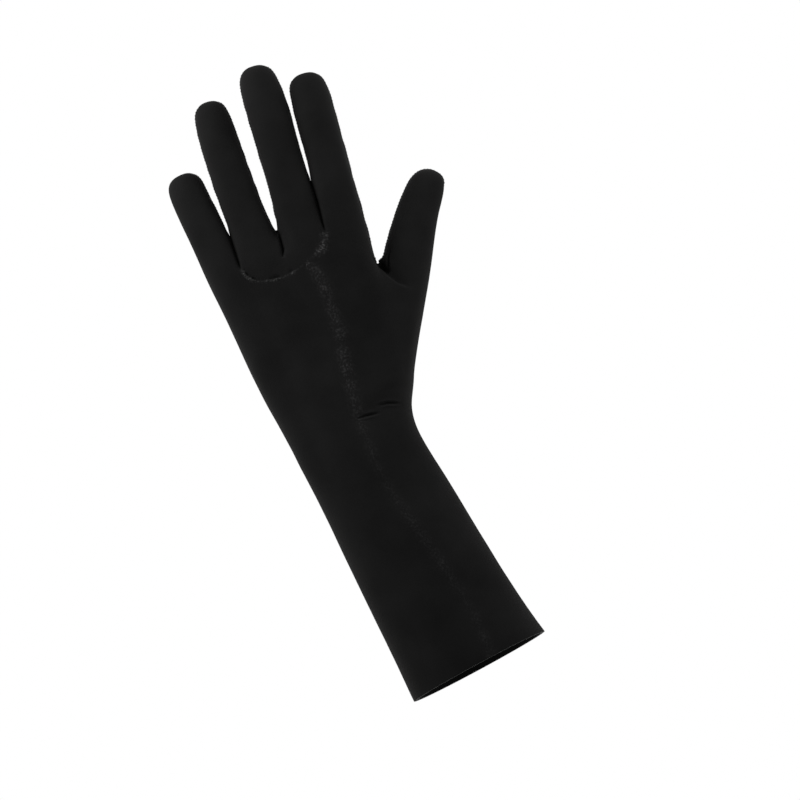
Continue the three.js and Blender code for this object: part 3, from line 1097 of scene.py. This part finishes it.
    def shape(self) -> None:
        """Presses in the folds, raises the seams, and marks where each point's inner face lies.

        The sheet's slight unevenness and the folds move both faces of the wall. The ridges of the
        seams are in the outer face only, and they flatten out in the folds and where two fingers
        touch. Shade is painted into the folds and the seam dents, as negative nap values.
        """
        relief = self.relief
        tree, kinds = self.line_tree(self.seam_lines())
        surface = BVHTree.FromBMesh(self.mesh)
        outwards = self.even_normals()
        nap_and_painted_shade = self.mesh.verts.layers.float.new(NAP_AND_PAINTED_SHADE)
        inner = self.mesh.verts.layers.float_vector.new(INNER_FACE)
        moved = []
        for vert, normal in zip(self.mesh.verts, outwards):
            place, index, away = tree.find(vert.co)
            profile = SEAMS[kinds[index]]
            depth = self.fold_depth(vert.co)
            start = vert.co + vert.normal * relief.ray_start
            room = surface.ray_cast(start, vert.normal, relief.sight)[3] or relief.sight
            free = clamp(room / relief.room_span - relief.room_start)
            ridge = raised = painted_dent_shadow = 0.0
            if away < relief.seam_extent * profile.reach:
                clear = free * clamp(1 - abs(depth) / relief.fold_limit)
                ridge, raised, painted_dent_shadow = self.seam_relief(vert, place, away, profile, clear)
            wave = sum(height * noise.noise(vert.co / size) for height, size in relief.waves)
            level = Vector((1, 1, 0 if on_cuff_edge(vert) else 1))
            both = (normal * (wave * free) + Vector((0, depth, 0))) * level
            # Painted shade: the deeper a fold, the darker the jersey's colour there.
            painted_fold_shade = clamp((abs(depth) - relief.fold_shade_start) / relief.fold_shade_span)
            vert[nap_and_painted_shade] = raised - max(painted_fold_shade, painted_dent_shadow)
            vert[inner] = vert.co + both - normal * WALL * level
            moved.append((vert, vert.co + both + normal * ridge * level))
        for vert, place in moved:
            vert.co = place
        self.mesh.normal_update()

    def seam_relief(
        self, vert: BMVert, place: Vector, away: float, profile: SeamProfile, clear: float
    ) -> tuple[float, float, float]:
        """Works out how a seam shows at a point near it.

        Args:
            vert: The point.
            place: The seam's nearest place.
            away: The distance to it.
            profile: The seam's sizes.
            clear: How freely the seam can stand out there, from 0 to 1.

        Returns:
            The ridge's height, how far the nap is raised, and how dark the shadow painted in the
            dent is.
        """
        relief = self.relief
        on_hand = clamp((vert.co.z - WRIST_HEIGHT) / relief.wrist_span + 0.5)
        clear *= profile.sleeve_share + (1 - profile.sleeve_share) * on_hand
        patch = noise.noise(place / relief.patch)
        clear *= clamp(1 + profile.patchiness * patch, *relief.patch_bounds)
        wear = profile.wear_at(place.x)
        fuzz_reach = profile.fuzz_reach * wear.spread
        raised = profile.fuzz * wear.fuzz * clear * math.exp(-((away / fuzz_reach) ** 2))
        tuck = noise.noise(vert.co / relief.tuck)
        clear *= wear.ridge * max(1 + profile.pucker * tuck, 0.0)
        fingers = self.panels.index(Panel.FINGER_BACK)
        if not profile.dent or any(face.material_index != fingers for face in vert.link_faces):
            return profile.rise * clear * self.bump(away / profile.reach), raised, 0.0
        held = min(clear, 1.0)
        line = math.exp(-(((away - relief.dent_place) / relief.dent_width) ** 2))
        ridge = clear * profile.rise * self.bump(away / relief.dented_reach)
        # The dent's shadow is painted: it darkens the jersey's colour along the line.
        return ridge - held * profile.dent * line, raised, relief.dent_shade * held * line

    def even_normals(self, rounds: int = 7) -> list[Vector]:
        """Evens out the directions square to the surface, so the wall keeps its place in webs.

        Args:
            rounds: How many times each direction is averaged with those round it.

        Returns:
            A direction for each point, in the points' order.
        """
        verts = self.mesh.verts
        verts.index_update()
        near = [[edge.other_vert(vert).index for edge in vert.link_edges] for vert in verts]
        directions = [vert.normal.copy() for vert in verts]
        for _ in range(rounds):
            directions = [
                sum((directions[i] for i in around), own * 2).normalized()
                for own, around in zip(directions, near)
            ]
        return directions

    @staticmethod
    def bump(share: float) -> float:
        """A smooth rise that is 1 on the seam and 0 from its reach outwards."""
        return math.cos(min(share, 1.0) * math.pi / 2) ** 2

    @staticmethod
    def is_seam(edge: BMEdge) -> bool:
        """Whether two panels meet in this edge."""
        return len({face.material_index for face in edge.link_faces}) > 1

    def kind_of(self, edge: BMEdge) -> SeamKind:
        """Names the seam that an edge belongs to.

        Args:
            edge: An edge between two panels.

        Returns:
            The kind of seam.
        """
        sides = {self.panels[face.material_index] for face in edge.link_faces}
        if Panel.PALM in sides:
            return SeamKind.SIDE
        return SeamKind.CURVED if Panel.FINGER_BACK in sides else SeamKind.BACK

    def seam_runs(self, kind: SeamKind) -> list[list[BMVert]]:
        """Follows the seams of one kind from end to end.

        Args:
            kind: The kind of seam.

        Returns:
            The points of each run, in order.
        """
        joins: dict[BMVert, list[BMVert]] = defaultdict(list)
        for edge in self.mesh.edges:
            if self.is_seam(edge) and self.kind_of(edge) is kind:
                a, b = edge.verts
                joins[a].append(b)
                joins[b].append(a)
        runs = []
        while joins:
            ends = (vert for vert, near in joins.items() if len(near) == 1)
            run = [next(ends, None) or next(iter(joins))]
            while joins.get(run[-1]):
                here = run[-1]
                after = joins[here].pop()
                joins[after].remove(here)
                run.append(after)
            for vert in run:
                if not joins.get(vert, True):
                    del joins[vert]
            runs.append(run)
        return runs

    def seam_lines(self) -> list[SeamLine]:
        """Measures the seams as they lie now.

        Returns:
            A line for each run of seam of one kind.
        """
        return [
            SeamLine(kind, [vert.co.copy() for vert in run])
            for kind in SeamKind
            for run in self.seam_runs(kind)
        ]

    @staticmethod
    def line_tree(lines: list[SeamLine], step: float = 0.25 * MM) -> tuple[KDTree, list[SeamKind]]:
        """Makes a search tree of points along the seams.

        Args:
            lines: The seams.
            step: The distance between the points.

        Returns:
            The tree, and the kind of seam of each of its points.
        """
        places = [(place, line.kind) for line in lines for place, _ in line.stops(step)]
        return search_tree([place for place, _ in places]), [kind for _, kind in places]

    def take_back(self, carrier: Object) -> None:
        """Reads the surface back from an object, modifiers applied, and removes the object.

        Args:
            carrier: The object.
        """
        graph = bpy.context.evaluated_depsgraph_get()
        self.mesh.free()
        self.mesh = bmesh.new()
        self.mesh.from_mesh(carrier.evaluated_get(graph).to_mesh())
        self.mesh.normal_update()
        data = carrier.data
        bpy.data.objects.remove(carrier)
        bpy.data.meshes.remove(data)


@dataclass
class NeoprenePanel:
    """One panel of neoprene, cut out of the skin and given its thickness."""

    skin: GloveSkin
    panel: Panel
    jersey: Material
    foam: Material
    lip: float = 0.22 * MM

    def build(self) -> Object:
        """Returns:
            The piece, riding on the glove and standing for its node.
        """
        sheet = self.skin.mesh.copy()
        index = self.skin.panels.index(self.panel)
        others = [face for face in sheet.faces if face.material_index != index]
        bmesh.ops.delete(sheet, geom=others, context="FACES")
        width, length, area = self.cut_size(sheet)
        self.thicken(sheet)
        name = self.panel.value.replace("_panel", "_neoprene")
        piece = make_object(name, sheet, self.jersey, self.foam)
        sheet.free()
        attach(piece, "root")
        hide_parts(self.panel.value)
        LOG.info("%s: cut from %.0f by %.0f mm", name, width / MM, length / MM)
        return piece

    @staticmethod
    def cut_size(sheet: BMesh) -> tuple[float, float, float]:
        """Measures the panel's cutting pattern.

        Args:
            sheet: The panel without its thickness.

        Returns:
            The pattern's width, length and area.
        """
        uv = sheet.loops.layers.uv[PATTERN_UV]
        places = [loop[uv].uv for face in sheet.faces for loop in face.loops]
        width, length = (max(p[i] for p in places) - min(p[i] for p in places) for i in (0, 1))
        area = 0.0
        for face in sheet.faces:
            ring = [loop[uv].uv for loop in face.loops]
            area += 0.5 * abs(sum(a.cross(b) for a, b in zip(ring, ring[1:] + ring[:1])))
        return width, length, area

    def thicken(self, sheet: BMesh) -> None:
        """Gives the sheet its wall: an inner face, and a foam edge between lips of jersey.

        Args:
            sheet: The panel's outer face, which becomes a closed wall.
        """
        inner = set(sheet.verts)
        made = bmesh.ops.extrude_face_region(sheet, geom=sheet.faces[:], use_keep_orig=True)
        outer = {part for part in made["geom"] if isinstance(part, BMVert)}
        place = sheet.verts.layers.float_vector[INNER_FACE]
        for vert in inner:
            vert.co = vert[place]
        for face in sheet.faces:
            face.smooth = True
            on_jersey = inner.issuperset(face.verts) or outer.issuperset(face.verts)
            face.material_index = int(not on_jersey)
        bmesh.ops.recalc_face_normals(sheet, faces=sheet.faces[:])
        corners = [edge for edge in sheet.edges if GloveSkin.is_seam(edge)]
        lips = bmesh.ops.bevel(
            sheet, geom=corners, offset=self.lip, offset_type="OFFSET", segments=2, profile=0.5,
            affect="EDGES", material=-1, clamp_overlap=True,
        )
        for face in lips["faces"]:
            face.material_index = 0
            face.smooth = True
        for edge in sheet.edges:
            if GloveSkin.is_seam(edge):
                edge.smooth = False
        sheet.verts.layers.float_vector.remove(sheet.verts.layers.float_vector[INNER_FACE])


@dataclass
class SeamStitches:
    """The blind stitches over all the seams of one kind: short threads across butted edges.

    A stitch has few sides, as there are many. It sways a little from the seam's slant, lies a
    share of its thread off the jersey, and is left out where a fold or another finger covers it.
    """

    kind: SeamKind
    lines: list[SeamLine]
    surface: BVHTree
    thread: Material
    sides: tuple[int, int] = (8, 6)
    sway: float = 9.0
    sway_pitch: float = 2 * MM
    lift: float = 0.15
    ray_start: float = 0.05 * MM
    cover: float = 1.5 * MM
    deepest_fold: float = 0.4 * MM

    def build(self) -> Object:
        """Makes the stitches as one joined piece.

        Returns:
            The piece, riding on the glove.
        """
        profile = SEAMS[self.kind]
        pattern = self.single(profile)
        stitches = bmesh.new()
        lines = [line for line in self.lines if line.kind is self.kind]
        for place, along in (stop for line in lines for stop in line.stops(profile.pitch)):
            seat = self.seat(place, along, profile)
            if seat:
                stitch = pattern.copy()
                stitch.transform(seat)
                stitches.from_mesh(stitch)
                bpy.data.meshes.remove(stitch)
        bpy.data.meshes.remove(pattern)
        for face in stitches.faces:
            face.smooth = True
        piece = make_object(f"{self.kind.value}_stitches", stitches, self.thread)
        stitches.free()
        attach(piece, "root")
        return piece

    def single(self, profile: SeamProfile) -> Mesh:
        """Makes one stitch, lying along X and bent down over the seam's ridge at both ends.

        Args:
            profile: The seam's sizes.

        Returns:
            The stitch's mesh.
        """
        stitch = bmesh.new()
        size = Matrix.Diagonal((profile.span / 2, profile.thread / 2, profile.thread / 2, 1.0))
        around, along = self.sides
        bmesh.ops.create_uvsphere(
            stitch, u_segments=around, v_segments=along, radius=1.0, matrix=size
        )
        sag = profile.rise + profile.thread
        for vert in stitch.verts:
            vert.co.z -= sag * (2 * vert.co.x / profile.span) ** 2
        data = bpy.data.meshes.new("single_stitch")
        stitch.to_mesh(data)
        stitch.free()
        return data

    def seat(self, place: Vector, along: Vector, profile: SeamProfile) -> Matrix | None:
        """Finds where one stitch lies, with its length across the seam.

        Args:
            place: Where it crosses the seam.
            along: The seam's direction there.
            profile: The seam's sizes.

        Returns:
            The matrix that takes the single stitch there, or none where the seam is covered.
        """
        foot, normal, _, _ = self.surface.find_nearest(place)
        start = foot + normal * self.ray_start
        covered = self.surface.ray_cast(start, normal, self.cover)[0]
        if covered or GloveSkin.fold_depth(place) > self.deepest_fold:
            return None
        along = (along - normal * along.dot(normal)).normalized()
        sway = self.sway * noise.noise(place / self.sway_pitch)
        turned = Matrix.Rotation(math.radians(profile.slant + sway), 3, normal) @ along
        seat = Matrix((turned.cross(normal), turned, normal)).transposed().to_4x4()
        seat.translation = foot + normal * (self.lift * profile.thread)
        return seat


@dataclass(frozen=True)
class Softbox:
    """A square softbox that hangs beside the glove: where it is, what it faces, and its watts."""

    name: str
    place: tuple[float, float, float]
    aim: tuple[float, float, float]
    power: float
    size: float = 0.4

    def build(self) -> None:
        """Hangs the light."""
        lamp = bpy.data.lights.new(self.name, "AREA")
        lamp.energy = self.power
        lamp.size = self.size
        softbox = bpy.data.objects.new(self.name, lamp)
        softbox.location = self.place
        towards = Vector(self.aim) - Vector(self.place)
        softbox.rotation_euler = towards.to_track_quat("-Z", "Y").to_euler()
        bpy.context.scene.collection.objects.link(softbox)


@dataclass
class Studio:
    """The pale floor far below the held-up glove, and the soft light round it."""

    floor_height: float = -0.42
    floor_size: float = 60.0
    mottle: float = 0.2
    sky: float = 1.0
    softboxes: tuple[Softbox, ...] = (
        Softbox("softbox_thumb_side", (0.5, -0.12, 0.34), (0.05, 0.0, 0.2), 4.3),
        Softbox("softbox_little_side", (-0.28, -0.16, 0.56), (0.0, 0.0, 0.3), 6.9),
    )

    def build(self) -> None:
        """Lays the floor and sets the lights."""
        self.lay_floor()
        self.light_world()
        for softbox in self.softboxes:
            softbox.build()

    def lay_floor(self) -> None:
        """Lays a matt pale floor."""
        ground = bmesh.new()
        bmesh.ops.create_grid(ground, x_segments=1, y_segments=1, size=self.floor_size / 2)
        bmesh.ops.translate(ground, verts=ground.verts[:], vec=(0, 0, self.floor_height))
        floor = make_object("studio_floor", ground, self.floor_material())
        ground.free()

    def floor_material(self) -> Material:
        """Builds matt white emulsion paint, rolled on, with a slight mottle.

        Returns:
            The material.
        """
        made = empty_material("emulsion_paint_rolled")
        add = partial(add_node, made.node_tree)
        place = add("TexCoord", output="Object")
        mottle = add("TexNoise", {"Vector": place, "Scale": 1 / self.mottle, "Detail": 3.0})
        colour = add(
            "Mix", {"Factor": mottle, "A": linear("#f4f4f3"), "B": linear("#fafafa")},
            output="Result", data_type="RGBA",
        )
        shader = add(
            "BsdfPrincipled", {"Base Color": colour, "Roughness": 0.9, "Specular IOR Level": 0.2}
        )
        add("OutputMaterial", {"Surface": shader})
        return made

    def light_world(self) -> None:
        """Surrounds the glove with even white light."""
        world = bpy.data.worlds.new("white_room")
        world.use_nodes = True
        world.node_tree.nodes.clear()
        add = partial(add_node, world.node_tree)
        light = add("Background", {"Color": linear("#ffffff"), "Strength": self.sky})
        add("OutputWorld", {"Surface": light})
        bpy.context.scene.world = world
        bpy.context.scene.view_settings.view_transform = "Standard"


@dataclass(frozen=True)
class ProductCamera:
    """A long lens a little below the glove, rolled so that the glove leans across the picture."""

    middle: tuple[float, float, float] = (28.9 * MM, 0.0, 139.5 * MM)
    distance: float = 2.5
    elevation: float = -6.0
    roll: float = 28.4
    view_width: float = 800 / 1.95 * MM
    sensor: float = 36.0
    clip: tuple[float, float] = (0.1, 100.0)

    def build(self) -> None:
        """Makes the camera and sets it as the scene's."""
        tilt, roll = math.radians(self.elevation), math.radians(self.roll)
        forward = Vector((0, math.cos(tilt), -math.sin(tilt)))
        up = (Vector((0, 0, 1)) - forward * forward.z).normalized()
        right = forward.cross(up)
        turned_right = right * math.cos(roll) - up * math.sin(roll)
        turned_up = right * math.sin(roll) + up * math.cos(roll)
        pose = Matrix((turned_right, turned_up, -forward)).transposed().to_4x4()
        pose.translation = Vector(self.middle) - forward * self.distance
        lens = bpy.data.cameras.new("product_camera")
        lens.sensor_width = self.sensor
        lens.lens = self.sensor * self.distance / self.view_width
        lens.clip_start, lens.clip_end = self.clip
        camera = bpy.data.objects.new("product_camera", lens)
        camera.matrix_world = pose
        bpy.context.scene.collection.objects.link(camera)
        bpy.context.scene.camera = camera


@dataclass
class NeopreneGlove:
    """The whole glove: its four panels and the stitches over their seams."""

    nodes: dict[str, Object]

    def build(self) -> list[Object]:
        """Builds every piece.

        Returns:
            The pieces.
        """
        jersey = KnittedNylonJersey().material()
        foam = CutNeopreneFoam().material()
        thread = TwistedNylonThread().material()
        skin = GloveSkin(self.nodes)
        lines = skin.build()
        for line in lines:
            LOG.info("%s: %.0f mm long", line.kind.value, line.length / MM)
        pieces = [NeoprenePanel(skin, panel, jersey, foam).build() for panel in Panel]
        surface = BVHTree.FromBMesh(skin.mesh)
        pieces += [SeamStitches(kind, lines, surface, thread).build() for kind in SeamKind]
        skin.mesh.free()
        return pieces


def triangles(piece: Object) -> int:
    """Counts a piece's triangles."""
    return sum(len(polygon.vertices) - 2 for polygon in piece.data.polygons)


def corners(box: tuple[Vector, Vector]) -> list[list[float]]:
    """Turns a box to plain lists of numbers."""
    return [list(corner) for corner in box]


def main() -> None:
    """Loads the frame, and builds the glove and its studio."""
    logging.basicConfig(level=logging.INFO, format="%(message)s")
    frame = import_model()
    ProductCamera().build()
    Studio().build()
    for piece in NeopreneGlove(frame["nodes"]).build():
        LOG.info("%s: %d triangles", piece.name, triangles(piece))


if __name__ == "__main__":
    main()
